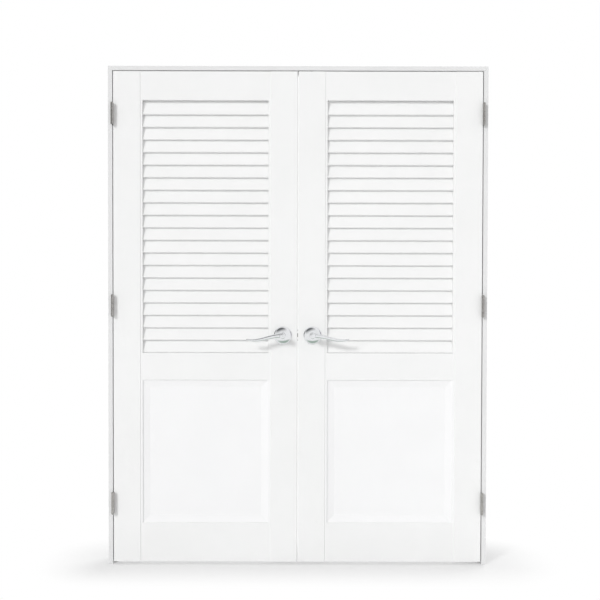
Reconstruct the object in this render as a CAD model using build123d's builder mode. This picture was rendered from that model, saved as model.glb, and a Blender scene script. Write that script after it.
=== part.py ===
"""A pair of louvered interior doors hung in their jambs, in millimetres.

+Z is up, +X is to the right of someone who faces the pull side, and +Y points away from them.
The origin is at floor level in the middle of the opening, half-way through the jambs' depth.
"""

import os
from math import cos, radians, sin

from build123d import *

# The leaves: a pair of 30 by 80 inch leaves, 1 3/8 inch thick
leaf_width = 762.0
leaf_height = 2032.0
leaf_thickness = 35.0
stile_width = 113.0
rail_setback = 2.2  # each face of the rails lies this far behind the stiles' faces
top_rail_height = 118.5
mid_rail_height = 111.5
bottom_rail_height = 162.0
panel_height = 595.0
side_margin = 8.0  # flat margin between a stile and the louvers or the panel's recess
edge_easing = 2.0

# Gaps round the leaves
meeting_gap = 3.0
hinge_gap = 3.0
head_gap = 3.0
floor_gap = 12.0

# The jambs and the stops
jamb_depth = 116.0
jamb_thickness = 18.0
jamb_easing = 1.0
head_housing = 6.0  # how far the head runs into each side jamb
stop_thickness = 11.0
stop_width = 35.0
stop_clearance = 1.0
stop_rounding = 4.0

# The joinery of the leaves
tenon_thickness = 12.0
tenon_length = 40.0
tenon_shoulder = 22.0  # from a rail's edge to its tenon's edge
joint_clearance = 0.2
panel_tongue = 9.0
panel_tongue_thickness = 10.0

# The panel's recess, the same on both faces
panel_step = 4.0
panel_slope_width = 30.0
panel_slope_depth = 4.5

# The louvers
slat_spacing = 51.8  # from one slat to the next, before the slats are spread evenly
slat_width = 60.0
slat_thickness = 9.0
slat_easing = 2.0  # the chamfer along each long edge
slat_angle = 75.5  # above the horizontal, the low edge towards the pull side
slat_top_gap = 0.6
slat_foot_gap = 0.5
slat_tenon_length = 4.0
slat_shoulder = 2.0  # from a slat's face to its tenon's
slat_end_shoulder = 5.5  # from a slat's long edge to its tenon's

# The hinges: 3 1/2 inch butts with five knuckles and rounded corners
bottom_hinge_up = 245.0  # from a leaf's bottom to the bottom hinge's middle
middle_hinge_up = 49.0  # from a leaf's middle
top_hinge_down = 176.0  # from a leaf's top
hinge_length = 89.0
hinge_leaf_width = 44.5  # from the pin's centre to the leaf's edge
hinge_leaf_thickness = 2.2
hinge_backset = 6.4  # wood left behind the hinge leaf on a door leaf's edge
hinge_corner_radius = 6.35
knuckle_count = 5
knuckle_gap = 0.4
barrel_radius = 5.9
pin_radius = 3.15
pin_clearance = 0.05
plate_to_barrel = 0.8
pin_head_radius = 5.4
pin_head_height = 2.2
pin_tip_length = 1.6

# The lever sets
lever_height = 955.0
backset = 60.0
rose_radius = 37.0
rose_thickness = 9.0
rose_rim = 3.0
rose_flat_radius = 27.0
neck_radius = 9.0
neck_clearance = 0.06
hub_radius = 12.5
hub_length = 14.0
hub_easing = 2.5
lever_projection = 62.0
lever_reach = 149.0
lever_drop = 18.0
arm_thickness = 8.0
arm_setback = 3.0  # from the hub's end to the arm's outer face
arm_root_height = 20.0
# Along the reach, down the drop, and the height there, each as a share
arm_stations = ((0.0, 0.0, 1.0), (0.4, 0.42, 0.8), (0.78, 1.0, 0.58), (1.0, 0.72, 0.32))
spindle_size = 8.0
spindle_clearance = 0.1
spindle_end_clearance = 1.0
spindle_easing = 0.5
spindle_engagement = 30.0  # how far the spindle runs past each face of the leaf
release_hole_radius = 1.8
release_hole_depth = 7.0
cross_bore_radius = 27.0

# The latch
latch_throw = 11.0
latch_travel = 12.0
bolt_width = 12.0
bolt_height = 16.0
bolt_head_length = 20.0
bolt_tail_radius = 3.0
bolt_tail_length = 31.5
bolt_clearance = 0.3
latch_tube_radius = 11.5
latch_tube_bore = 10.5
latch_tube_length = 38.0
latch_body_end = 76.0  # from the meeting edge
latch_body_width = 12.0
latch_body_height = 22.0
spindle_hole_radius = 6.6
faceplate_width = 25.4
faceplate_height = 57.0
faceplate_thickness = 2.4
strike_thickness = 1.6
strike_hole_depth = 13.0
strike_hole_margin = 1.0  # all round the bolt

# The bullet catch, in the top of the inactive leaf's meeting stile, clear of the top rail's tenon
catch_radius = 7.5
catch_depth = 24.0
catch_plate_length = 50.0
catch_plate_width = 22.0
catch_plate_thickness = 2.0
plunger_radius = 5.5
plunger_length = 9.0
nose_radius = 4.0
nose_projection = 4.2
nose_easing = 1.6
lip_thickness = 1.0
catch_hole_radius = 4.4
catch_hole_depth = 5.0

# Sizes that follow
rail_thickness = leaf_thickness - 2 * rail_setback
inner_width = 2 * leaf_width + meeting_gap + 2 * hinge_gap
inner_height = floor_gap + leaf_height + head_gap
pull_face_y = -jamb_depth / 2
leaf_mid_y = pull_face_y + leaf_thickness / 2
push_face_y = pull_face_y + leaf_thickness
leaf_mid_z = floor_gap + leaf_height / 2
leaf_top = floor_gap + leaf_height
rail_length = leaf_width - 2 * stile_width
panel_bottom = floor_gap + bottom_rail_height
panel_top = panel_bottom + panel_height
louver_bottom = panel_top + mid_rail_height
louver_top = leaf_top - top_rail_height
louver_height = louver_top - louver_bottom
louver_width = rail_length - 2 * side_margin
slat_rise = slat_width * sin(radians(slat_angle)) + (slat_thickness - 2 * slat_easing) * cos(
    radians(slat_angle)
)
slat_run = louver_height - slat_top_gap - slat_foot_gap - slat_rise
slat_gaps = round(slat_run / slat_spacing)
slat_pitch = slat_run / slat_gaps
hinge_heights = (floor_gap + bottom_hinge_up, leaf_mid_z + middle_hinge_up, leaf_top - top_hinge_down)
hinge_line = inner_width / 2 - hinge_gap / 2
pin_out = hinge_leaf_width - (leaf_thickness - hinge_backset)
pin_y = pull_face_y - pin_out
knuckle_length = (hinge_length - (knuckle_count - 1) * knuckle_gap) / knuckle_count
knuckle_pitch = knuckle_length + knuckle_gap
meeting_edge = meeting_gap / 2
lever_x = meeting_edge + backset

# Left is -1 and right is +1 all through
sides = {"left": -1, "right": 1}

os.makedirs("parts", exist_ok=True)


def write_piece(piece, name):
    piece.part.label = name
    export_step(piece.part, f"parts/{name}.step")


def cut_box(x_low, x_high, y_mid, y_size, z_low, z_high):
    """A box-shaped cut in the part being built."""
    with Locations(((x_low + x_high) / 2, y_mid, (z_low + z_high) / 2)):
        Box(abs(x_high - x_low), y_size, z_high - z_low, mode=Mode.SUBTRACT)


def cut_hinge_mortises(face_x, into):
    """Shallow seats for the hinge leaves, open at the pull side. into is the way into the wood, -1 or +1."""
    seat_width = leaf_thickness - hinge_backset + joint_clearance
    for height in hinge_heights:
        with BuildSketch(Plane.YZ.offset(face_x)) as seat:
            with Locations((pull_face_y, height)):
                Rectangle(2 * seat_width, hinge_length + 2 * joint_clearance)
            fillet(seat.vertices().sort_by(Axis.X)[-2:], hinge_corner_radius + joint_clearance)
        extrude(seat.sketch, amount=into * hinge_leaf_thickness, mode=Mode.SUBTRACT)


# The three jambs: the head's ends are let into the side jambs
for side_name, side in sides.items():
    inner_x = side * inner_width / 2
    outer_x = side * (inner_width / 2 + jamb_thickness)
    with BuildPart() as side_jamb:
        with Locations(((inner_x + outer_x) / 2, 0, 0)):
            Box(
                jamb_thickness,
                jamb_depth,
                inner_height + jamb_thickness,
                align=(Align.CENTER, Align.CENTER, Align.MIN),
            )
        chamfer(side_jamb.edges().filter_by(Axis.Z).group_by(Axis.X)[0 if side > 0 else -1], jamb_easing)
        cut_box(
            inner_x, inner_x + side * head_housing, 0, jamb_depth, inner_height, inner_height + jamb_thickness
        )
        cut_hinge_mortises(inner_x, side)
    write_piece(side_jamb, f"{side_name}_jamb")

catch_x = meeting_edge + (stile_width - tenon_length) / 2
with BuildPart() as head_jamb:
    with Locations((0, 0, inner_height)):
        Box(
            inner_width + 2 * head_housing,
            jamb_depth,
            jamb_thickness,
            align=(Align.CENTER, Align.CENTER, Align.MIN),
        )
    chamfer(head_jamb.edges().filter_by(Axis.X).group_by(Axis.Z)[0], jamb_easing)
    with BuildSketch(Plane.XY.offset(inner_height)):
        with Locations((catch_x, leaf_mid_y)):
            Rectangle(catch_plate_length + 2 * joint_clearance, catch_plate_width + 2 * joint_clearance)
    extrude(amount=strike_thickness, mode=Mode.SUBTRACT)
    with Locations((catch_x, leaf_mid_y, inner_height)):
        Cylinder(
            catch_hole_radius,
            catch_hole_depth,
            align=(Align.CENTER, Align.CENTER, Align.MIN),
            mode=Mode.SUBTRACT,
        )
write_piece(head_jamb, "head_jamb")

# The stops, nailed to the jambs just behind the leaves
stop_front_y = push_face_y + stop_clearance
stop_mid_y = stop_front_y + stop_width / 2
for side_name, side in sides.items():
    with BuildPart() as side_stop:
        with Locations((side * (inner_width / 2 - stop_thickness / 2), stop_mid_y, 0)):
            Box(
                stop_thickness,
                stop_width,
                inner_height - stop_thickness,
                align=(Align.CENTER, Align.CENTER, Align.MIN),
            )
        free_edges = side_stop.edges().filter_by(Axis.Z).sort_by(Axis.X, reverse=side > 0)[-2:]
        fillet(free_edges.sort_by(Axis.Y)[-1], stop_rounding)
    write_piece(side_stop, f"{side_name}_stop")

with BuildPart() as head_stop:
    with Locations((0, stop_mid_y, inner_height)):
        Box(inner_width, stop_width, stop_thickness, align=(Align.CENTER, Align.CENTER, Align.MAX))
    fillet(head_stop.edges().filter_by(Axis.X).group_by(Axis.Z)[0].sort_by(Axis.Y)[-1], stop_rounding)
write_piece(head_stop, "head_stop")

# The hinges: three knuckles on the jamb's leaf, two on the door's, and a headed pin
for side_name, side in sides.items():
    axis_x = side * hinge_line
    for place, height in zip(("bottom", "middle", "top"), hinge_heights):
        for owner, toward in (("frame", side), ("door", -side)):
            exposed_x = axis_x + toward * hinge_gap / 2
            plate_start = pin_y + barrel_radius + plate_to_barrel
            plate_end = pin_y + hinge_leaf_width
            first = 0 if owner == "frame" else 1
            own_knuckles = [
                height + (index - (knuckle_count - 1) / 2) * knuckle_pitch
                for index in range(first, knuckle_count, 2)
            ]
            with BuildPart() as hinge_leaf:
                with BuildSketch(Plane.YZ.offset(exposed_x)) as plate:
                    with Locations((plate_start, height)):
                        Rectangle(plate_end - plate_start, hinge_length, align=(Align.MIN, Align.CENTER))
                    fillet(plate.vertices().sort_by(Axis.X)[-2:], hinge_corner_radius)
                extrude(amount=toward * hinge_leaf_thickness)
                with Locations([(axis_x, pin_y, z) for z in own_knuckles]):
                    Cylinder(barrel_radius, knuckle_length)
                with Locations(
                    [(exposed_x + toward * hinge_leaf_thickness / 2, pin_y, z) for z in own_knuckles]
                ):
                    Box(
                        hinge_leaf_thickness,
                        plate_start - pin_y + plate_to_barrel,
                        knuckle_length,
                        align=(Align.CENTER, Align.MIN, Align.CENTER),
                    )
                with Locations((axis_x, pin_y, height)):
                    Cylinder(pin_radius + pin_clearance, 2 * hinge_length, mode=Mode.SUBTRACT)
            write_piece(hinge_leaf, f"{side_name}_{place}_hinge_{owner}_leaf")

        with BuildPart() as hinge_pin:
            with Locations((axis_x, pin_y, height - hinge_length / 2 - pin_tip_length)):
                Cylinder(
                    pin_radius,
                    hinge_length + pin_tip_length + pin_clearance,
                    align=(Align.CENTER, Align.CENTER, Align.MIN),
                )
            with Locations((axis_x, pin_y, height + hinge_length / 2 + pin_clearance)):
                Cylinder(
                    pin_head_radius, pin_head_height, align=(Align.CENTER, Align.CENTER, Align.MIN)
                )
        write_piece(hinge_pin, f"{side_name}_{place}_hinge_pin")


def rail(name, leaf_x, z_low, z_high):
    """A rail with a stub tenon at each end. The tenons stop short of the rail's edges by the shoulder."""
    with BuildPart() as piece:
        with Locations((leaf_x, leaf_mid_y, (z_low + z_high) / 2)):
            Box(rail_length, rail_thickness, z_high - z_low)
            Box(rail_length + 2 * tenon_length, tenon_thickness, z_high - z_low - 2 * tenon_shoulder)
    write_piece(piece, name)


rail_rows = {
    "bottom_rail": (floor_gap, panel_bottom),
    "mid_rail": (panel_top, louver_bottom),
    "top_rail": (louver_top, leaf_top),
}


def cut_rail_mortises(inner_x, outward):
    """Mortises for the rails' tenons and the panel's tongue, from a stile's inner edge."""
    depth = tenon_length + joint_clearance
    for z_low, z_high in rail_rows.values():
        cut_box(
            inner_x,
            inner_x + outward * depth,
            leaf_mid_y,
            tenon_thickness + 2 * joint_clearance,
            z_low + tenon_shoulder - joint_clearance,
            z_high - tenon_shoulder + joint_clearance,
        )
    cut_box(
        inner_x,
        inner_x + outward * (panel_tongue + joint_clearance),
        leaf_mid_y,
        panel_tongue_thickness + 2 * joint_clearance,
        panel_bottom,
        panel_top,
    )


# Each leaf's wood: two stiles, three rails, the panel, two louver strips and the slats
for side_name, side in sides.items():
    leaf_x = side * (meeting_edge + leaf_width / 2)
    hinge_stile_x = leaf_x + side * (leaf_width - stile_width) / 2
    meeting_stile_x = leaf_x - side * (leaf_width - stile_width) / 2

    with BuildPart() as hinge_stile:
        with Locations((hinge_stile_x, leaf_mid_y, leaf_mid_z)):
            Box(stile_width, leaf_thickness, leaf_height)
        chamfer(hinge_stile.edges().filter_by(Axis.Z), edge_easing)
        cut_rail_mortises(hinge_stile_x - side * stile_width / 2, side)
        cut_hinge_mortises(leaf_x + side * leaf_width / 2, -side)
    write_piece(hinge_stile, f"{side_name}_hinge_stile")

    edge_x = side * meeting_edge
    with BuildPart() as meeting_stile:
        with Locations((meeting_stile_x, leaf_mid_y, leaf_mid_z)):
            Box(stile_width, leaf_thickness, leaf_height)
        chamfer(meeting_stile.edges().filter_by(Axis.Z), edge_easing)
        cut_rail_mortises(meeting_stile_x + side * stile_width / 2, -side)
        plate_depth = faceplate_thickness if side < 0 else strike_thickness
        with BuildSketch(Plane.YZ.offset(edge_x)):
            with Locations((leaf_mid_y, lever_height)):
                Rectangle(faceplate_width + 2 * joint_clearance, faceplate_height + 2 * joint_clearance)
        extrude(amount=side * plate_depth, mode=Mode.SUBTRACT)
        if side < 0:
            with BuildSketch(Plane.YZ.offset(edge_x)):
                with Locations((leaf_mid_y, lever_height)):
                    Circle(latch_tube_radius + joint_clearance)
            extrude(amount=-backset, mode=Mode.SUBTRACT)
            with BuildSketch(Plane.XZ.offset(-pull_face_y)):
                with Locations((side * lever_x, lever_height)):
                    Circle(cross_bore_radius)
            extrude(amount=-leaf_thickness, mode=Mode.SUBTRACT)
        else:
            cut_box(
                edge_x,
                edge_x + strike_hole_depth,
                leaf_mid_y,
                bolt_width + 2 * strike_hole_margin,
                lever_height - bolt_height / 2 - strike_hole_margin,
                lever_height + bolt_height / 2 + strike_hole_margin,
            )
            with BuildSketch(Plane.XY.offset(leaf_top)):
                with Locations((catch_x, leaf_mid_y)):
                    Rectangle(
                        catch_plate_length + 2 * joint_clearance, catch_plate_width + 2 * joint_clearance
                    )
            extrude(amount=-catch_plate_thickness, mode=Mode.SUBTRACT)
            with Locations((catch_x, leaf_mid_y, leaf_top)):
                Cylinder(
                    catch_radius + joint_clearance,
                    catch_depth + joint_clearance,
                    align=(Align.CENTER, Align.CENTER, Align.MAX),
                    mode=Mode.SUBTRACT,
                )
    write_piece(meeting_stile, f"{side_name}_meeting_stile")

    for rail_name, (z_low, z_high) in rail_rows.items():
        rail(f"{side_name}_{rail_name}", leaf_x, z_low, z_high)

    with BuildPart() as panel:
        with Locations((leaf_x, leaf_mid_y, (panel_bottom + panel_top) / 2)):
            Box(rail_length, rail_thickness, panel_height)
            Box(rail_length + 2 * panel_tongue, panel_tongue_thickness, panel_height)
        for face in (-1, 1):
            face_y = leaf_mid_y + face * rail_thickness / 2
            with BuildSketch(Plane.XZ.offset(-face_y)):
                with Locations((leaf_x, (panel_bottom + panel_top) / 2)):
                    Rectangle(louver_width, panel_height)
            extrude(amount=face * panel_step, mode=Mode.SUBTRACT)
            with BuildSketch(Plane.XZ.offset(-(face_y - face * panel_step))):
                with Locations((leaf_x, (panel_bottom + panel_top) / 2)):
                    Rectangle(louver_width, panel_height)
            with BuildSketch(Plane.XZ.offset(-(face_y - face * (panel_step + panel_slope_depth)))):
                with Locations((leaf_x, (panel_bottom + panel_top) / 2)):
                    Rectangle(louver_width - 2 * panel_slope_width, panel_height - 2 * panel_slope_width)
            loft(ruled=True, mode=Mode.SUBTRACT)
    write_piece(panel, f"{side_name}_panel")

    slat_centres = [
        (leaf_mid_y, louver_bottom + slat_foot_gap + slat_rise / 2 + index * slat_pitch)
        for index in range(slat_gaps + 1)
    ]
    tenon_section = (slat_width - 2 * slat_end_shoulder, slat_thickness - 2 * slat_shoulder)

    with BuildPart() as slats:
        with BuildSketch(Plane.YZ.offset(leaf_x)) as section:
            with Locations(slat_centres):
                Rectangle(slat_width, slat_thickness, rotation=slat_angle)
            chamfer(section.vertices(), slat_easing)
        extrude(amount=louver_width / 2, both=True)
        with BuildSketch(Plane.YZ.offset(leaf_x)):
            with Locations(slat_centres):
                Rectangle(*tenon_section, rotation=slat_angle)
        extrude(amount=louver_width / 2 + slat_tenon_length - joint_clearance, both=True)
    write_piece(slats, f"{side_name}_louver_slats")

    for strip_name, strip_side in sides.items():
        strip_x = leaf_x + strip_side * (rail_length - side_margin) / 2
        with BuildPart() as strip:
            with Locations((strip_x, leaf_mid_y, (louver_bottom + louver_top) / 2)):
                Box(side_margin, rail_thickness, louver_height)
            with BuildSketch(Plane.YZ.offset(strip_x - strip_side * side_margin / 2)):
                with Locations(slat_centres):
                    Rectangle(
                        tenon_section[0] + 2 * joint_clearance,
                        tenon_section[1] + 2 * joint_clearance,
                        rotation=slat_angle,
                    )
            extrude(amount=strip_side * slat_tenon_length, mode=Mode.SUBTRACT)
        write_piece(strip, f"{side_name}_leaf_{strip_name}_louver_strip")

# The lever sets: a rose and a lever on each face of each leaf
for side_name, side in sides.items():
    centre_x = side * lever_x
    turning_axis = Axis((centre_x, 0, lever_height), (0, 1, 0))
    for face_name, face in (("outside", -1), ("inside", 1)):
        face_y = leaf_mid_y + face * leaf_thickness / 2
        front_y = face_y + face * rose_thickness
        with BuildPart() as rose:
            with BuildSketch(Plane.XY.offset(lever_height)):
                with BuildLine():
                    Polyline(
                        (centre_x + neck_radius + neck_clearance, face_y),
                        (centre_x + rose_radius, face_y),
                        (centre_x + rose_radius, face_y + face * rose_rim),
                        (centre_x + rose_flat_radius, front_y),
                        (centre_x + neck_radius + neck_clearance, front_y),
                        close=True,
                    )
                make_face()
            revolve(axis=turning_axis)
        write_piece(rose, f"{side_name}_{face_name}_rose")

        tip_y = face_y + face * lever_projection
        hub_y = tip_y - face * hub_length
        with BuildPart() as lever:
            with BuildSketch(Plane.XY.offset(lever_height)):
                with BuildLine():
                    Polyline(
                        (centre_x, face_y + face * joint_clearance),
                        (centre_x + neck_radius, face_y + face * joint_clearance),
                        (centre_x + neck_radius, hub_y - face * (hub_radius - neck_radius)),
                        (centre_x + hub_radius, hub_y),
                        (centre_x + hub_radius, tip_y - face * hub_easing),
                        (centre_x + hub_radius - hub_easing, tip_y),
                        (centre_x, tip_y),
                        close=True,
                    )
                make_face()
            revolve(axis=turning_axis)

            # The arm's outline droops from the hub and lifts again at its tip
            with BuildSketch(Plane.XZ.offset(-(tip_y - face * arm_setback))):
                with BuildLine():
                    edges = {}
                    for name, up in (("upper", 1), ("lower", -1)):
                        root, waist, low, end = [
                            (
                                centre_x + side * along * lever_reach,
                                lever_height - drop * lever_drop + up * share * arm_root_height / 2,
                            )
                            for along, drop, share in arm_stations
                        ]
                        sweep_arc = ThreePointArc(root, waist, low)
                        tip_arc = TangentArc(low, end, tangent=sweep_arc % 1)
                        edges[name] = (sweep_arc, tip_arc)
                    Line(edges["upper"][0] @ 0, edges["lower"][0] @ 0)
                    Line(edges["upper"][1] @ 1, edges["lower"][1] @ 1)
                make_face()
            extrude(amount=face * arm_thickness)
            if side < 0:
                with Locations((centre_x, face_y, lever_height)):
                    socket = spindle_size + 2 * spindle_clearance
                    Box(socket, 2 * (spindle_engagement + spindle_end_clearance), socket, mode=Mode.SUBTRACT)
            if side < 0 and face < 0:
                with BuildSketch(Plane.XZ.offset(-tip_y)):
                    with Locations((centre_x, lever_height)):
                        Circle(release_hole_radius)
                extrude(amount=-release_hole_depth, mode=Mode.SUBTRACT)
        write_piece(lever, f"{side_name}_{face_name}_lever")

with BuildPart() as spindle:
    with Locations((-lever_x, leaf_mid_y, lever_height)):
        Box(spindle_size, leaf_thickness + 2 * spindle_engagement, spindle_size)
    chamfer(spindle.edges().filter_by(Axis.Y), spindle_easing)
write_piece(spindle, "spindle")

# The latch, in the left leaf's meeting edge
latch_front_x = -meeting_edge - faceplate_thickness
with BuildPart() as latch_case:
    with BuildSketch(Plane.YZ.offset(latch_front_x)):
        with Locations((leaf_mid_y, lever_height)):
            Circle(latch_tube_radius)
            Circle(latch_tube_bore, mode=Mode.SUBTRACT)
    extrude(amount=-latch_tube_length)
    with Locations((latch_front_x - latch_tube_length, leaf_mid_y, lever_height)):
        Box(
            latch_body_end - latch_tube_length,
            latch_body_width,
            latch_body_height,
            align=(Align.MAX, Align.CENTER, Align.CENTER),
        )
    with BuildSketch(Plane.YZ.offset(latch_front_x - latch_tube_length)):
        with Locations((leaf_mid_y, lever_height)):
            Circle(bolt_tail_radius + bolt_clearance)
    extrude(amount=-latch_travel - bolt_clearance, mode=Mode.SUBTRACT)
    with Locations((-lever_x, leaf_mid_y, lever_height)):
        Cylinder(spindle_hole_radius, latch_body_width, rotation=(90, 0, 0), mode=Mode.SUBTRACT)
write_piece(latch_case, "latch_case")

with BuildPart() as latch_faceplate:
    with BuildSketch(Plane.YZ.offset(-meeting_edge)):
        with Locations((leaf_mid_y, lever_height)):
            Rectangle(faceplate_width, faceplate_height)
            Rectangle(
                bolt_width + 2 * bolt_clearance, bolt_height + 2 * bolt_clearance, mode=Mode.SUBTRACT
            )
    extrude(amount=-faceplate_thickness)
write_piece(latch_faceplate, "latch_faceplate")

bolt_nose_x = -meeting_edge + latch_throw
bolt_back_x = bolt_nose_x - bolt_head_length
with BuildPart() as latch_bolt:
    with BuildSketch(Plane.XY.offset(lever_height - bolt_height / 2)):
        with BuildLine():
            Polyline(
                (bolt_nose_x, leaf_mid_y - bolt_width / 2),
                (bolt_nose_x, leaf_mid_y - bolt_width / 4),
                (-meeting_edge, leaf_mid_y + bolt_width / 2),
                (bolt_back_x, leaf_mid_y + bolt_width / 2),
                (bolt_back_x, leaf_mid_y - bolt_width / 2),
                close=True,
            )
        make_face()
    extrude(amount=bolt_height)
    with BuildSketch(Plane.YZ.offset(bolt_back_x)):
        with Locations((leaf_mid_y, lever_height)):
            Circle(bolt_tail_radius)
    extrude(amount=-bolt_tail_length)
write_piece(latch_bolt, "latch_bolt")

with BuildPart() as latch_strike:
    with BuildSketch(Plane.YZ.offset(meeting_edge)):
        with Locations((leaf_mid_y, lever_height)):
            Rectangle(faceplate_width, faceplate_height)
            Rectangle(
                bolt_width + 2 * strike_hole_margin, bolt_height + 2 * strike_hole_margin, mode=Mode.SUBTRACT
            )
    extrude(amount=strike_thickness)
write_piece(latch_strike, "latch_strike")

# The bullet catch that holds the right leaf shut
with BuildPart() as catch_case:
    with Locations((catch_x, leaf_mid_y, leaf_top)):
        Box(
            catch_plate_length,
            catch_plate_width,
            catch_plate_thickness,
            align=(Align.CENTER, Align.CENTER, Align.MAX),
        )
        Cylinder(catch_radius, catch_depth, align=(Align.CENTER, Align.CENTER, Align.MAX))
        Cylinder(nose_radius + bolt_clearance, 2 * lip_thickness, mode=Mode.SUBTRACT)
    with Locations((catch_x, leaf_mid_y, leaf_top - lip_thickness)):
        Cylinder(
            plunger_radius + bolt_clearance,
            catch_depth - 2 * lip_thickness,
            align=(Align.CENTER, Align.CENTER, Align.MAX),
            mode=Mode.SUBTRACT,
        )
write_piece(catch_case, "catch_case")

with BuildPart() as catch_plunger:
    with Locations((catch_x, leaf_mid_y, leaf_top - lip_thickness - joint_clearance)):
        Cylinder(plunger_radius, plunger_length, align=(Align.CENTER, Align.CENTER, Align.MAX))
        Cylinder(
            nose_radius,
            nose_projection + lip_thickness + joint_clearance,
            align=(Align.CENTER, Align.CENTER, Align.MIN),
        )
    chamfer(catch_plunger.faces().sort_by(Axis.Z)[-1].edges(), nose_easing)
write_piece(catch_plunger, "catch_plunger")

with BuildPart() as catch_strike:
    with Locations((catch_x, leaf_mid_y, inner_height)):
        Box(
            catch_plate_length,
            catch_plate_width,
            strike_thickness,
            align=(Align.CENTER, Align.CENTER, Align.MIN),
        )
        Cylinder(catch_hole_radius, 3 * strike_thickness, mode=Mode.SUBTRACT)
write_piece(catch_strike, "catch_strike")
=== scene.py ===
import math

import bmesh
import bpy
import numpy as np
from mathutils import Matrix, Vector


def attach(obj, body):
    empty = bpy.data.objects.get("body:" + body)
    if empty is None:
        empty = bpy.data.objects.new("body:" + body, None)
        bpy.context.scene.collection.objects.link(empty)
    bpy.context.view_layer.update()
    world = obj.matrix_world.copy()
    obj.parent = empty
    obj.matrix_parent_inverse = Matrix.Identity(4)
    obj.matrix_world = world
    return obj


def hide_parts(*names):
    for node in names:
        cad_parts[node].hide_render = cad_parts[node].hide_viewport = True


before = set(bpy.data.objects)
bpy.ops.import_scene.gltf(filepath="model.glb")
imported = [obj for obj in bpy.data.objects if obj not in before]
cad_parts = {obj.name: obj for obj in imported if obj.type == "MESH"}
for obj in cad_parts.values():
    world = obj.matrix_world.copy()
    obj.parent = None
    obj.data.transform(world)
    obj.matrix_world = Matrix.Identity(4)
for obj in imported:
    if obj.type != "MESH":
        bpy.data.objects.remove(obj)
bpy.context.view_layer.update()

# A pair of louvered doors in their jambs. All lengths are in metres, and -Y is the pull side.
sides = {"left": -1, "right": 1}
faces = {"outside": -1, "inside": 1}
white = (1, 1, 1, 1)
tiny = 1e-9  # keeps a length of nothing out of a division
meshLook = {"mergeDistance": 2e-6, "smoothAngle": 32}
print("frame loaded:", len(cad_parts), "nodes")


def softCorners(corners, reaches, steps=6, closed=False):
    # Each corner p is cut by the parabola (1-t)^2 a + 2 t (1-t) p + t^2 b, where a and b lie the
    # corner's reach back along its two edges. A reach of 0 keeps the corner sharp. An open line keeps
    # its two ends.
    p = np.asarray(corners, float)
    reach = np.asarray(reaches, float)[:, None]
    before, after = np.roll(p, 1, 0) - p, np.roll(p, -1, 0) - p
    before /= np.maximum(np.linalg.norm(before, axis=1, keepdims=True), tiny)
    after /= np.maximum(np.linalg.norm(after, axis=1, keepdims=True), tiny)
    t = np.linspace(0, 1, steps)[None, :, None]
    a = (p + before * reach)[:, None]
    b = (p + after * reach)[:, None]
    line = (1 - t) ** 2 * a + 2 * t * (1 - t) * p[:, None] + t ** 2 * b
    if not closed:
        line[0], line[-1] = p[0], p[-1]
    return line.reshape(-1, 2)


def turned(profile, centre, axis, segments):
    # A lathe: profile point (r, h) goes to centre + h * axis + r * (cos a * u + sin a * v), for a from
    # 0 to a full turn, with u and v square to the axis. The first and last columns share their points.
    r, h = np.asarray(profile, float).T
    axis = np.asarray(axis, float)
    u = np.roll(np.abs(axis), 1)
    v = np.cross(axis, u)
    a = np.linspace(0, 2 * np.pi, segments + 1)
    ring = np.cos(a)[:, None] * u + np.sin(a)[:, None] * v
    return np.asarray(centre) + h[:, None, None] * axis + r[:, None, None] * ring


def closedEnds(rings):
    # A grid of rings gets one more ring at each end, with every point at that end ring's middle
    first = rings[:1, :-1].mean(1, keepdims=True)
    last = rings[-1:, :-1].mean(1, keepdims=True)
    width = rings.shape[1]
    return np.concatenate([np.repeat(first, width, 1), rings, np.repeat(last, width, 1)])


def slab(outline, axis, low, high, easing):
    # A flat outline (p, q) carried along the axis from low to high. The rings at the two ends are drawn
    # in by the easing, so that the edges are broken. p and q lie on the two axes after the given one.
    outline = np.concatenate([outline, outline[:1]])
    middle = (outline.min(0) + outline.max(0)) / 2
    half = (outline.max(0) - outline.min(0)) / 2
    inner = middle + (outline - middle) * (1 - easing / half)
    levels = np.array([low, low + easing, high - easing, high])
    flat = np.stack([inner, outline, outline, inner])
    rings = np.empty(flat.shape[:2] + (3,))
    rings[..., axis] = levels[:, None]
    rings[..., (axis + 1) % 3] = flat[..., 0]
    rings[..., (axis + 2) % 3] = flat[..., 1]
    return closedEnds(rings)


def addObject(name, data):
    # Stays at the origin, unturned and unscaled, unless it is a lamp or the camera
    made = bpy.data.objects.new(name, data)
    bpy.context.scene.collection.objects.link(made)
    return made


def makePiece(name, grids, material, body, replaced=()):
    # Neighbouring points of each grid are joined by quads; repeated points at seams and poles are
    # merged, and the faces are then turned outwards
    points, quads, start = [], [], 0
    for grid in grids:
        rows, columns = grid.shape[:2]
        index = start + np.arange(rows * columns).reshape(rows, columns)
        corners = [index[:-1, :-1], index[1:, :-1], index[1:, 1:], index[:-1, 1:]]
        quads.append(np.stack(corners, -1).reshape(-1, 4))
        points.append(grid.reshape(-1, 3))
        start += rows * columns
    mesh = bpy.data.meshes.new(name)
    mesh.from_pydata(np.concatenate(points).tolist(), [], np.concatenate(quads).tolist())
    work = bmesh.new()
    work.from_mesh(mesh)
    bmesh.ops.remove_doubles(work, verts=work.verts, dist=meshLook["mergeDistance"])
    bmesh.ops.recalc_face_normals(work, faces=work.faces)
    work.to_mesh(mesh)
    work.free()
    mesh.polygons.foreach_set("use_smooth", np.ones(len(mesh.polygons), bool))
    mesh.set_sharp_from_angle(angle=math.radians(meshLook["smoothAngle"]))
    mesh.materials.append(material)
    piece = addObject(name, mesh)
    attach(piece, body)
    if replaced:
        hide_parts(*replaced)


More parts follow.
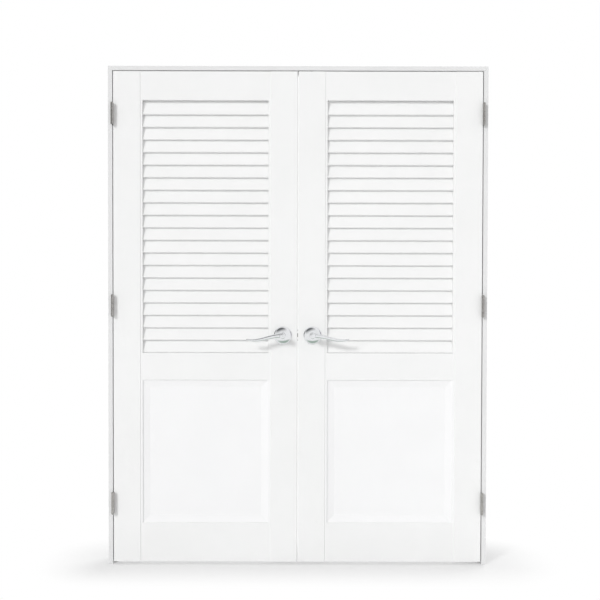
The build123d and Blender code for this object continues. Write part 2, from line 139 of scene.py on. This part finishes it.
class Wire:
    # A socket that takes part in sums: each operator adds a Math node
    def __init__(self, finish, socket):
        self.finish, self.socket = finish, socket

    def maths(self, operation, *inputs):
        return self.finish.node("Math", {"operation": operation}, dict(enumerate(inputs)))

    def __add__(self, other):
        return self.maths("ADD", self, other)

    def __radd__(self, other):
        return self.maths("ADD", other, self)

    def __sub__(self, other):
        return self.maths("SUBTRACT", self, other)

    def __rsub__(self, other):
        return self.maths("SUBTRACT", other, self)

    def __mul__(self, other):
        return self.maths("MULTIPLY", self, other)

    def __rmul__(self, other):
        return self.maths("MULTIPLY", other, self)

    def __pow__(self, other):
        return self.maths("POWER", self, other)

    def __rpow__(self, other):
        return self.maths("POWER", other, self)


class Finish:
    # A material or world and its nodes
    def __init__(self, name, kind="materials"):
        self.data = getattr(bpy.data, kind).new(name)
        self.data.use_nodes = True
        self.tree = self.data.node_tree
        self.tree.nodes.clear()

    def node(self, kind, settings=None, values=None, out=0):
        # Settings first, then the sockets' values or links
        made = self.tree.nodes.new("ShaderNode" + kind)
        for key, value in (settings or {}).items():
            setattr(made, key, value)
        for key, value in (values or {}).items():
            socket = made.inputs[key]
            if isinstance(value, Wire):
                self.tree.links.new(value.socket, socket)
            else:
                socket.default_value = value
        return Wire(self, made.outputs[out]) if made.outputs else None

    def place(self, scale=(1, 1, 1)):
        # The object's own coordinates, stretched along its axes
        where = self.node("TexCoord", out="Object")
        return self.node("Mapping", values={"Vector": where, "Scale": scale})

    def noise(self, where, size, detail, roughness=0.5):
        return self.node("TexNoise", values={
            "Vector": where, "Scale": size, "Detail": detail, "Roughness": roughness}, out="Fac")

    def spread(self, value, span, reached=(0.0, 1.0)):
        # A value within the span goes smoothly to one between the two that are reached
        return self.node("MapRange", {"interpolation_type": "SMOOTHSTEP"}, {
            "Value": value, "From Min": span[0], "From Max": span[1],
            "To Min": reached[0], "To Max": reached[1]})

    def mixColour(self, share, first, second):
        return self.node("Mix", {"data_type": "RGBA"}, {0: share, 6: first, 7: second}, out=2)

    def bump(self, height, distance, normal=None):
        values = {"Height": height, "Distance": distance, "Strength": 1.0}
        if normal:
            values["Normal"] = normal
        return self.node("Bump", values=values)

    def vector(self, operation, first, second=None, out="Vector"):
        values = {0: first} if second is None else {0: first, 1: second}
        return self.node("VectorMath", {"operation": operation}, values, out)

    def end(self, surface):
        kind = "OutputMaterial" if isinstance(self.data, bpy.types.Material) else "OutputWorld"
        self.node(kind, values={"Surface": surface})
        return self.data


# The jambs and stops are painted a shade greyer than the leaves' enamel, a painted shade for how the light
# falls on them. The sunk panels are painted the whitest, a painted light.
paintColours = {
    "leaf": {"colour": (0.872, 0.874, 0.872, 1), "shade": (0.842, 0.845, 0.842, 1)},
    "panel": {"colour": (0.894, 0.894, 0.899, 1), "shade": (0.872, 0.872, 0.877, 1)},
    "frame": {"colour": (0.765, 0.768, 0.768, 1), "shade": (0.73, 0.733, 0.733, 1)},
}
paintLook = {
    "grainSize": 260.0,  # strokes per metre across the grain
    "grainStretch": 0.04, "grainDetail": 4.0, "grainRoughness": 0.55, "grainDepth": 0.00022,
    "peelSize": 900.0, "peelDetail": 2.0, "peelDepth": 0.00007,
    "patchSize": 5.0, "patchDetail": 2.0, "patchSpan": (0.3, 0.7),
    "shadeByPatches": 0.6, "shadeByGrain": 0.25, "dullByGrain": 0.5, "dullSpan": (0.0, 1.5),
    "roughness": (0.33, 0.52), "ior": 1.46, "edge": 0.0006, "edgeSamples": 4,
}


def paint(name, along, coat="leaf"):
    # Sprayed white enamel over wood: the grain shows through as fine ridges along the member, over a
    # slight orange peel, and the film is a little duller and greyer in slow patches
    look = paintLook
    finish = Finish(name)
    stretch = [1.0, 1.0, 1.0]
    stretch[along] = look["grainStretch"]
    where, plain = finish.place(stretch), finish.place()
    grain = finish.noise(where, look["grainSize"], look["grainDetail"], look["grainRoughness"])
    peel = finish.noise(plain, look["peelSize"], look["peelDetail"])
    patches = finish.noise(plain, look["patchSize"], look["patchDetail"])
    patches = finish.spread(patches, look["patchSpan"])
    normal = finish.node("Bevel", {"samples": look["edgeSamples"]}, {"Radius": look["edge"]})
    normal = finish.bump(grain, look["grainDepth"], normal)
    normal = finish.bump(peel, look["peelDepth"], normal)
    shade = patches * look["shadeByPatches"] + grain * look["shadeByGrain"]
    dull = patches + grain * look["dullByGrain"]
    return finish.end(finish.node("BsdfPrincipled", values={
        "Base Color": finish.mixColour(shade, *paintColours[coat].values()),
        "Roughness": finish.spread(dull, look["dullSpan"], look["roughness"]),
        "IOR": look["ior"],
        "Normal": normal,
    }))


metalLooks = {
    "satinNickel": {
        "colour": (0.40, 0.39, 0.375, 1), "worn": (0.50, 0.49, 0.475, 1), "roughness": (0.25, 0.38),
        "strokeSize": 2400.0, "stretch": (1, 1, 0.02), "depth": 0.000006,
    },
    "brightChrome": {
        "colour": (0.80, 0.81, 0.825, 1), "worn": (0.74, 0.75, 0.76, 1), "roughness": (0.05, 0.13),
        "strokeSize": 60.0, "stretch": (1, 1, 1), "depth": 0.0,
    },
    "zincPlate": {
        "colour": (0.60, 0.61, 0.62, 1), "worn": (0.5, 0.51, 0.52, 1), "roughness": (0.38, 0.55),
        "strokeSize": 700.0, "stretch": (1, 1, 1), "depth": 0.00001,
    },
}
wearLook = {
    "strokeDetail": 3.0, "strokeRoughness": 0.6,
    "markSize": 45.0, "markDetail": 4.0, "markRoughness": 0.6, "markSpan": (0.42, 0.68),
    "wornByMarks": 0.5, "wornByStrokes": 0.3,
    "dullByStrokes": 0.7, "dullByMarks": 0.3, "dullSpan": (0.2, 0.75),
}


def metal(name):
    # Bare or plated metal: fine strokes along the stretch axis change its roughness, and a slow pattern
    # of handling marks moves it between its fresh and worn colours
    look, wear = metalLooks[name], wearLook
    finish = Finish(name)
    strokes = finish.noise(
        finish.place(look["stretch"]), look["strokeSize"], wear["strokeDetail"], wear["strokeRoughness"])
    marks = finish.noise(finish.place(), wear["markSize"], wear["markDetail"], wear["markRoughness"])
    marks = finish.spread(marks, wear["markSpan"])
    worn = marks * wear["wornByMarks"] + strokes * wear["wornByStrokes"]
    dull = strokes * wear["dullByStrokes"] + marks * wear["dullByMarks"]
    values = {
        "Base Color": finish.mixColour(worn, look["colour"], look["worn"]),
        "Metallic": 1.0,
        "Roughness": finish.spread(dull, wear["dullSpan"], look["roughness"]),
    }
    if look["depth"]:
        values["Normal"] = finish.bump(strokes, look["depth"])
    return finish.end(finish.node("BsdfPrincipled", values=values))


paintUpright = paint("paintUpright", 2)
paintAcross = paint("paintAcross", 0)
# The panels' white is lighter than the leaves', a painted light
panelPaintedLight = paint("panelPaintedLight", 2, "panel")
# The jambs' and stops' white is greyer than the leaves', a painted shade
shadedFrameUpright = paint("shadedFrameUpright", 2, "frame")
shadedFrameAcross = paint("shadedFrameAcross", 0, "frame")
satinNickel, brightChrome, zincPlate = metal("satinNickel"), metal("brightChrome"), metal("zincPlate")

# How the names of the CAD nodes end, and their finish. The first that fits counts. The last fits every
# name, and is left with the stiles and the strips.
nodeFinishes = [
    (("spindle", "latch_case"), zincPlate),
    (("hinge_pin", "frame_leaf", "door_leaf", "catch_case", "plunger"), satinNickel),
    (("latch_bolt", "faceplate", "strike"), satinNickel),
    (("rose", "lever"), brightChrome),
    (("head_jamb", "head_stop"), shadedFrameAcross),
    (("_jamb", "_stop"), shadedFrameUpright),
    (("_panel",), panelPaintedLight),
    (("rail", "slats"), paintAcross),
    (("",), paintUpright),
]
for nodeName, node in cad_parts.items():
    node.data.materials.clear()
    node.data.materials.append(next(look for ends, look in nodeFinishes if nodeName.endswith(ends)))
print("finishes made")


slatSizes = {
    "width": 0.060, "thickness": 0.009, "edgeEasing": 0.002, "angle": 75.5, "noseSteps": 9,
    "halfLength": 0.26, "tenonLength": 0.0038, "tenonWidth": 0.049, "tenonThickness": 0.005,
    "leafX": 0.3825, "middleY": -0.0405, "firstFoot": 0.8810, "topEnd": 1.9249, "count": 20,
    "endEasing": 0.0012, "endShrink": 0.82,
}


def slatGrids(leafX):
    # The section is a stadium, u = straight * sign(cos a) + r cos a and v = r sin a, leaning at the
    # slat's angle. It is carried along X, is eased at each end, and shrinks to the tenon's size past
    # the shoulder.
    s = slatSizes
    r = s["thickness"] / 2
    a = np.concatenate([np.linspace(-np.pi / 2, np.pi / 2, s["noseSteps"]),
                        np.linspace(np.pi / 2, 3 * np.pi / 2, s["noseSteps"])])
    way = np.repeat([1.0, -1.0], s["noseSteps"])
    section = np.stack([(s["width"] / 2 - r) * way + r * np.cos(a), r * np.sin(a)], 1)
    section = np.concatenate([section, section[:1]])
    shrink = np.array([s["tenonWidth"] / s["width"], s["tenonThickness"] / s["thickness"]])
    eased = np.array([1 - (1 - s["endShrink"]) * s["thickness"] / s["width"], s["endShrink"]])
    shoulder = s["halfLength"]
    end, full = shoulder + s["tenonLength"], shoulder - s["endEasing"]
    along = np.array([-end, -shoulder, -shoulder, -full, full, shoulder, shoulder, end])
    scale = np.stack([shrink, shrink, eased, [1, 1], [1, 1], eased, shrink, shrink])
    flat = section[None] * scale[:, None]
    lean = math.radians(s["angle"])
    rise = s["width"] * math.sin(lean) + (s["thickness"] - 2 * s["edgeEasing"]) * math.cos(lean)
    heights = np.linspace(s["firstFoot"] + rise / 2, s["topEnd"] - rise / 2, s["count"])
    shape = np.empty(flat.shape[:2] + (3,))
    shape[..., 0] = leafX + along[:, None]
    shape[..., 1] = s["middleY"] + flat[..., 0] * math.cos(lean) - flat[..., 1] * math.sin(lean)
    shape[..., 2] = flat[..., 0] * math.sin(lean) + flat[..., 1] * math.cos(lean)
    return [closedEnds(shape + [0, 0, height]) for height in heights]


for sideName, side in sides.items():
    makePiece(sideName + "Louvers", slatGrids(side * slatSizes["leafX"]), paintAcross,
              sideName + "_door", [sideName + "_louver_slats"])
print("louvers made")


leverSizes = {
    "centreX": 0.0615, "height": 0.955, "pullFace": -0.058, "pushFace": -0.023,
    "projection": 0.062, "footGap": 0.0002, "neck": 0.009, "hub": 0.0125, "hubLength": 0.014,
    "cove": 0.0035, "coveReach": 0.003, "hubReach": 0.0022, "crown": 0.0009, "crownReach": 0.0026,
    "socket": 0.0058, "socketDepth": 0.031, "hubSegments": 56,
    "releaseHole": 0.0018, "releaseDepth": 0.007, "releaseReach": 0.0004,
    "reach": 0.149, "drop": 0.018, "armSetback": 0.003, "armThickness": 0.008, "armTaper": 0.12,
    "rootHeight": 0.020, "roundness": 2.7, "armSegments": 36,
    "armStart": 0.02, "armSteps": 40, "tipStart": 0.955, "tipSteps": 12,  # starts are shares of the reach
}
roseSizes = {
    "radius": 0.037, "thickness": 0.009, "rim": 0.0028, "footEasing": 0.0002, "bore": 0.00906,
    "fullness": 2.0, "steps": 26, "segments": 96,
}
# Along the reach, down the drop and the arm's height there, as shares
armStations = np.array([(0, 0, 1), (0.4, 0.42, 0.8), (0.78, 1.0, 0.58), (1.0, 0.72, 0.32)])


def hubGrid(centre, face, hasSocket, hasHole):
    # A lathe profile: the neck, a cove out to the hub, and a crowned end with eased edges. The left
    # leaf's hubs have a socket for the spindle, and the outer one has a release hole in its end.
    s = leverSizes
    foot, tip = s["footGap"], s["projection"]
    back, holeEnd = tip - s["hubLength"], tip - s["releaseDepth"]
    inner, innerReach = [(0, foot)], [0]
    if hasSocket:
        inner = [(0, s["socketDepth"]), (s["socket"], s["socketDepth"]), (s["socket"], foot)]
        innerReach = [0, 0, 0]
    outer = [(s["neck"], foot), (s["neck"], back - s["cove"]), (s["hub"], back), (s["hub"], tip - s["crown"])]
    outerReach = [0, s["coveReach"], s["hubReach"], s["crownReach"]]
    last, lastReach = [(0, tip)], [0]
    if hasHole:
        last = [(s["releaseHole"], tip), (s["releaseHole"], holeEnd), (0, holeEnd)]
        lastReach = [s["releaseReach"], 0, 0]
    profile = softCorners(inner + outer + last, innerReach + outerReach + lastReach)
    return turned(profile, centre, (0, face, 0), s["hubSegments"])


def armGrid(centre, side, face):
    # Centre line: x = reach t, z = -drop w(t), with w a cubic through the stations. Its section square
    # to that line is a superellipse, |y/b|^n + |z/h|^n = 1, whose half height h is a cubic as well. Both
    # halves shrink by sqrt(1 - s^2) over the last stretch, which rounds the tip.
    s = leverSizes
    tip = 1 - s["tipStart"]
    t = np.concatenate([np.linspace(s["armStart"], s["tipStart"], s["armSteps"]),
                        1 - tip * np.linspace(1, 0, s["tipSteps"])[1:] ** 2])
    sag = np.polyfit(armStations[:, 0], armStations[:, 1], 3)
    tall = np.polyfit(armStations[:, 0], armStations[:, 2], 3)
    path = np.stack([side * s["reach"] * t, -s["drop"] * np.polyval(sag, t)], 1)
    slope = np.stack([np.full_like(t, side * s["reach"]), -s["drop"] * np.polyval(np.polyder(sag), t)], 1)
    slope /= np.linalg.norm(slope, axis=1, keepdims=True)
    square = np.stack([-slope[:, 1], slope[:, 0]], 1)
    rounding = np.sqrt(1 - np.clip((t - s["tipStart"]) / tip, 0, 1) ** 2)
    halfHeight = s["rootHeight"] / 2 * np.polyval(tall, t) * rounding
    halfDepth = s["armThickness"] / 2 * (1 - s["armTaper"] * t) * rounding
    a = np.linspace(0, 2 * np.pi, s["armSegments"] + 1)
    power = 2 / s["roundness"]
    deep = np.sign(np.cos(a)) * np.abs(np.cos(a)) ** power
    high = np.sign(np.sin(a)) * np.abs(np.sin(a)) ** power
    level = s["projection"] - s["armSetback"] - s["armThickness"] / 2
    grid = np.empty((len(t), len(a), 3))
    grid[..., 0] = path[:, :1] + square[:, :1] * halfHeight[:, None] * high
    grid[..., 1] = face * (level + halfDepth[:, None] * deep)
    grid[..., 2] = path[:, 1:] + square[:, 1:] * halfHeight[:, None] * high
    return closedEnds(grid + centre)


def roseGrid(centre, face):
    # A lathe ring: an upright rim, then a dome, h = rim + rise * (1 - s^n)^(1/n), where s goes from 0 at
    # the bore for the lever's neck to 1 at the rim
    s = roseSizes
    a = np.linspace(np.pi / 2, 0, s["steps"])
    out, up = np.sin(a) ** (2 / s["fullness"]), np.cos(a) ** (2 / s["fullness"])
    dome = np.stack([s["bore"] + (s["radius"] - s["bore"]) * out,
                     s["rim"] + (s["thickness"] - s["rim"]) * up], 1)
    foot = [(s["bore"], 0), (s["radius"] - s["footEasing"], 0), (s["radius"], s["footEasing"])]
    return turned(np.concatenate([foot, dome, foot[:1]]), centre, (0, face, 0), s["segments"])


for sideName, side in sides.items():
    door = sideName + "_door"
    for faceName, face in faces.items():
        woodFace = leverSizes["pullFace"] if face < 0 else leverSizes["pushFace"]
        centre = np.array([side * leverSizes["centreX"], woodFace, leverSizes["height"]])
        nodeStem, pieceStem = sideName + "_" + faceName, sideName + faceName.title()
        hub = hubGrid(centre, face, side < 0, side < 0 and face < 0)
        makePiece(pieceStem + "Lever", [hub, armGrid(centre, side, face)], brightChrome,
                  "lever_set" if side < 0 else door, [nodeStem + "_lever"])
        makePiece(pieceStem + "Rose", [roseGrid(centre, face)], brightChrome,
                  door, [nodeStem + "_rose"])
print("lever sets made")


hingeSizes = {
    "heights": {"bottom": 0.257, "middle": 1.077, "top": 1.868}, "line": 0.765, "pinY": -0.0739,
    "length": 0.089, "gap": 0.003, "knuckles": 5, "knuckleGap": 0.0004, "knuckleEasing": 0.0005,
    "barrel": 0.0059, "bore": 0.0032, "segments": 48,
    "plate": 0.0022, "plateStart": -0.0672, "plateEnd": -0.0294, "easing": 0.0003,
    "corner": 0.00635, "cornerSteps": 8,
    "webClearance": 0.0003, "webEnd": -0.0664, "webEasing": 0.0001,
    "pin": 0.00315, "pinTip": 0.0016, "tipReach": 0.0011,
    "head": 0.0054, "headGap": 0.00005, "headHeight": 0.0022, "headFootReach": 0.0003, "headReach": 0.0014,
    # How far each screw is above the hinge's middle, and its Y
    "screws": ((-0.034, -0.047), (-0.0115, -0.038), (0.0115, -0.038), (0.034, -0.047)),
    "firstTurn": 0.6, "turnStep": 1.7,  # how the screws' crosses happen to stand, in radians
}
screwSizes = {
    "head": 0.0041, "rim": 0.0002, "dome": 0.0007, "rings": 5, "seat": -0.0002, "coneEnd": -0.0026,
    "shank": 0.0021, "length": 0.016, "point": 0.003,
    "slot": 0.0004, "slotReach": 0.0023, "slotDepth": 0.0008, "slotWall": 0.0002,
}


def screwGrid(centre, outward, along):
    # Height over the seat: rim + dome * (1 - (r/R)^2), less a cross recess inside both walls of its
    # arms. The grid is polar, and its angles shift with r, asin(w/r) off each arm's middle line, to run
    # along the walls.
    s = screwSizes
    outward, along = np.asarray(outward, float), np.asarray(along, float)
    across = np.cross(outward, along)
    inner = np.linspace(0, s["slotReach"] - s["slotWall"], s["rings"])
    outer = np.linspace(s["slotReach"], s["head"] - s["rim"], s["rings"])
    r = np.concatenate([inner, outer])[:, None]
    quarter = np.pi / 4
    wall = [np.arcsin(np.minimum(half / np.maximum(r, tiny), np.sin(quarter)))
            for half in (s["slot"], s["slot"] + s["slotWall"])]
    middle = (wall[1] + quarter) / 2
    arm = np.concatenate([0 * r - quarter, -middle, -wall[1], -wall[0], 0 * r, wall[0], wall[1], middle], 1)
    a = np.concatenate([arm + 2 * quarter * turn for turn in range(4)] + [arm[:, :1] + 8 * quarter], 1)
    off = r * np.minimum(np.abs(np.cos(a)), np.abs(np.sin(a)))
    sunk = np.clip((s["slot"] + s["slotWall"] - off) / s["slotWall"], 0, 1)
    sunk = sunk * np.clip((s["slotReach"] - r) / s["slotWall"], 0, 1)
    top = s["rim"] + s["dome"] * (1 - (r / s["head"]) ** 2) - s["slotDepth"] * sunk
    under = np.array([(s["head"], 0), (s["head"], s["seat"]), (s["shank"], s["coneEnd"]),
                      (s["shank"], s["point"] - s["length"]), (0, -s["length"])])
    radius = np.concatenate([r, under[:, :1]])
    height = np.concatenate([top, np.repeat(under[:, 1:], a.shape[1], 1)])
    a = np.concatenate([a, np.repeat(a[-1:], len(under), 0)])
    grid = (radius * np.cos(a))[..., None] * along + (radius * np.sin(a))[..., None] * across
    return np.asarray(centre) + grid + height[..., None] * outward


def hingeLeafGrids(side, height, toward, ownKnuckles):
    # The plate is a rounded outline with eased edges; each knuckle is a lathe ring round the pin, and a
    # short web of the plate's thickness joins it to the plate
    s = hingeSizes
    axisX = side * s["line"]
    exposed = axisX + toward * s["gap"] / 2
    inner, outer = sorted((exposed, exposed + toward * s["plate"]))
    low, high = height - s["length"] / 2, height + s["length"] / 2
    start, end = s["plateStart"], s["plateEnd"]
    outline = softCorners([(start, low), (end, low), (end, high), (start, high)],
                          [0, s["corner"], s["corner"], 0], s["cornerSteps"], closed=True)
    grids = [slab(outline, 0, inner, outer, s["easing"])]
    length = (s["length"] - (s["knuckles"] - 1) * s["knuckleGap"]) / s["knuckles"]
    bore, barrel, e = s["bore"], s["barrel"], s["knuckleEasing"]
    ring = np.array([(bore, 0), (barrel - e, 0), (barrel, e), (barrel, length - e),
                     (barrel - e, length), (bore, length), (bore, 0)])
    start, end = s["pinY"] + s["pin"] + s["webClearance"], s["webEnd"]
    for index in ownKnuckles:
        foot = low + index * (length + s["knuckleGap"])
        web = np.array([(start, foot), (end, foot), (end, foot + length), (start, foot + length)])
        grids.append(turned(ring, (axisX, s["pinY"], foot), (0, 0, 1), s["segments"]))
        grids.append(slab(web, 0, inner, outer, s["webEasing"]))
    return grids


def pinGrid(side, height):
    # A lathe profile from the rounded tip up the shaft to a domed head
    s = hingeSizes
    low, foot = -s["length"] / 2 - s["pinTip"], s["length"] / 2 + s["headGap"]
    top = foot + s["headHeight"]
    corners = [(0, low), (s["pin"], low), (s["pin"], foot), (s["head"], foot), (s["head"], top), (0, top)]
    profile = softCorners(corners, [0, s["tipReach"], 0, s["headFootReach"], s["headReach"], 0])
    return turned(profile, (side * s["line"], s["pinY"], height), (0, 0, 1), s["segments"])


for sideName, side in sides.items():
    door = sideName + "_door"
    screws = {"frame": [], "door": []}
    for place, height in hingeSizes["heights"].items():
        nodeStem, pieceStem = sideName + "_" + place + "_hinge_", sideName + place.title() + "Hinge"
        leaves = (("frame", "frame", side, 0), ("door", door, -side, 1))
        for owner, body, toward, firstKnuckle in leaves:
            own = range(firstKnuckle, hingeSizes["knuckles"], 2)
            grids = hingeLeafGrids(side, height, toward, own)
            makePiece(pieceStem + owner.title() + "Leaf", grids, satinNickel,
                      body, [nodeStem + owner + "_leaf"])
            exposed = side * hingeSizes["line"] + toward * hingeSizes["gap"] / 2
            for row, (rise, y) in enumerate(hingeSizes["screws"]):
                turn = hingeSizes["firstTurn"] + hingeSizes["turnStep"] * row + height
                spot, along = (exposed, y, height + rise), (0, math.cos(turn), math.sin(turn))
                screws[owner].append(screwGrid(spot, (-toward, 0, 0), along))
        makePiece(pieceStem + "Pin", [pinGrid(side, height)], satinNickel,
                  "frame", [nodeStem + "pin"])
    makePiece(sideName + "JambScrews", screws["frame"], satinNickel, "frame")
    makePiece(sideName + "DoorScrews", screws["door"], satinNickel, door)

# The two screws in each plate of the latch and the catch: their body, the plate's middle, the way that
# it faces, and how far each screw is from the middle
plateScrews = {
    "latchPlateScrews": ("left_door", (-0.0015, -0.0405, 0.955), (1, 0, 0), (0, 0, 0.0205)),
    "latchStrikeScrews": ("right_door", (0.0015, -0.0405, 0.955), (-1, 0, 0), (0, 0, 0.0205)),
    "catchPlateScrews": ("right_door", (0.038, -0.0405, 2.044), (0, 0, 1), (0.0185, 0, 0)),
    "catchStrikeScrews": ("frame", (0.038, -0.0405, 2.047), (0, 0, -1), (0.0185, 0, 0)),
}
for name, (body, middle, outward, offset) in plateScrews.items():
    spots = [np.array(middle) + way * np.array(offset) for way in (-1, 1)]
    grids = [screwGrid(spot, outward, np.roll(outward, 1)) for spot in spots]
    makePiece(name, grids, satinNickel, body)
print("hinges and screws made")


lightLook = {
    "ambient": 0.67,
    "key": {"from": (-0.85, -1.2, 0.7), "softness": 12.0, "strength": 1.4},
    "backFill": {"from": (0.6, 1.0, 1.2), "softness": 40.0, "strength": 0.95},
}
# What bright metal mirrors besides the white room: the middle, the two sides and the colour of each card
cardLook = {
    "leftCard": {"middle": (-3.0, -1.9, 1.7), "across": (0, 4.2, 0), "up": (0, 0, 5.0),
                 "colour": (0.08, 0.085, 0.085, 1)},
    "rightCard": {"middle": (2.6, -1.9, 1.5), "across": (0, 3.0, 0), "up": (0, 0, 4.0),
                  "colour": (0.30, 0.29, 0.36, 1)},
    "topCard": {"middle": (-0.7, -2.6, 2.1), "across": (3.2, 0, 0), "up": (0, 0, 2.5),
                "colour": (0.16, 0.165, 0.17, 1)},
    "lowCard": {"middle": (0.2, -2.0, 0.02), "across": (3.0, 0, 0), "up": (0, 3.0, 0),
                "colour": (0.42, 0.50, 0.44, 1)},
}
cardFeather = (0.3, 1.0)  # where its colour starts to fade and where it is gone, in half widths
floorLook = {
    "reach": 9.0, "paper": (0.78, 0.78, 0.78, 1),
    "footprint": (0.7845, 0.058, 0.0), "fade": 0.32, "least": 0.3,
}
cameraLook = {
    "distance": 4.0, "pitch": 1.23, "roll": 0.12, "aim": (0.0095, -0.058, 1.1015),
    "sensor": 36.0, "pixelFocus": 966.0, "frameWidth": 600,  # the last two in pixels
}


def lightPathMask(finish):
    # 1 for rays from the camera or from a mirror or glass, 0 for the light that falls on the object
    rays = ("Is Camera Ray", "Is Glossy Ray", "Is Transmission Ray")
    seen, mirrored, through = (finish.node("LightPath", out=name) for name in rays)
    return finish.node("Math", {"operation": "ADD", "use_clamp": True}, {0: seen + mirrored, 1: through})


def makeWorld():
    # White where it is seen, and at the ambient strength where it lights the object
    finish = Finish("studio", "worlds")
    seen = lightPathMask(finish)
    strength = seen + (1 - seen) * lightLook["ambient"]
    glow = finish.node("Background", values={"Color": white, "Strength": strength})
    bpy.context.scene.world = finish.end(glow)


def addSheet(name, corners, material):
    # A flat sheet with four corners
    mesh = bpy.data.meshes.new(name)
    mesh.from_pydata(corners, [], [(0, 1, 2, 3)])
    mesh.materials.append(material)
    return addObject(name, mesh)


def makeFloor():
    # A white floor that shows the object's shadow near its foot and is plain white further out
    finish = Finish("floorPaper")
    reached = finish.vector("ABSOLUTE", finish.node("TexCoord", out="Object"))
    beyond = finish.vector("SUBTRACT", reached, floorLook["footprint"])
    beyond = finish.vector("MAXIMUM", beyond, (0, 0, 0))
    far = finish.vector("LENGTH", beyond, out="Value")
    plain = finish.spread(far, (0.0, floorLook["fade"]), (floorLook["least"], 1.0))
    paper = finish.node("BsdfDiffuse", values={"Color": floorLook["paper"]})
    glow = finish.node("Emission", values={"Color": white, "Strength": 1.0})
    mixed = finish.node("MixShader", values={0: lightPathMask(finish) * plain, 1: paper, 2: glow})
    reach = floorLook["reach"]
    corners = [(-reach, -reach, 0), (reach, -reach, 0), (reach, reach, 0), (-reach, reach, 0)]
    floor = addSheet("floor", corners, finish.end(mixed))


def makeSun(name, look):
    # A far, soft lamp, which metal doesn't mirror
    lamp = bpy.data.lights.new(name, "SUN")
    lamp.angle, lamp.energy = math.radians(look["softness"]), look["strength"]
    holder = addObject(name, lamp)
    holder.rotation_euler = Vector(look["from"]).to_track_quat("Z", "Y").to_euler()
    holder.visible_glossy = False


def makeCards():
    # Studio cards that only mirrors see, darkest in the middle and feathered out to the room's white
    for name, look in cardLook.items():
        middle, across, up = (np.array(look[key]) for key in ("middle", "across", "up"))
        finish = Finish(name)
        where = finish.vector("SUBTRACT", finish.node("TexCoord", out="Object"), middle.tolist())
        wide, high = (finish.vector("DOT_PRODUCT", where, (2 * way / way.dot(way)).tolist(), "Value")
                      for way in (across, up))
        faded = finish.spread((wide * wide + high * high) ** 0.5, cardFeather)
        colour = finish.mixColour(faded, look["colour"], white)
        glow = finish.node("Emission", values={"Color": colour, "Strength": 1.0})
        corners = [(middle + x * across / 2 + y * up / 2).tolist()
                   for x, y in ((-1, -1), (1, -1), (1, 1), (-1, 1))]
        card = addSheet(name, corners, finish.end(glow))
        card.visible_camera = card.visible_diffuse = False
        card.visible_shadow = card.visible_transmission = False


def makeCamera():
    # Stands at the distance from its aim, out along -Y and raised by the pitch
    look = cameraLook
    lens = bpy.data.cameras.new("camera")
    lens.sensor_width = look["sensor"]
    lens.lens = look["sensor"] * look["pixelFocus"] / look["frameWidth"]
    camera = addObject("camera", lens)
    pitch = math.radians(look["pitch"])
    back = Vector((0, -math.cos(pitch), math.sin(pitch))) * look["distance"]
    camera.matrix_world = (Matrix.Translation(Vector(look["aim"]) + back)
                           @ Matrix.Rotation(math.pi / 2 - pitch, 4, "X")
                           @ Matrix.Rotation(math.radians(look["roll"]), 4, "Z"))
    bpy.context.scene.camera = camera


makeWorld()
makeFloor()
makeSun("keySun", lightLook["key"])
makeSun("backFillSun", lightLook["backFill"])
makeCards()
makeCamera()
bpy.context.scene.view_settings.view_transform = "Standard"
print("stage, light and camera made")
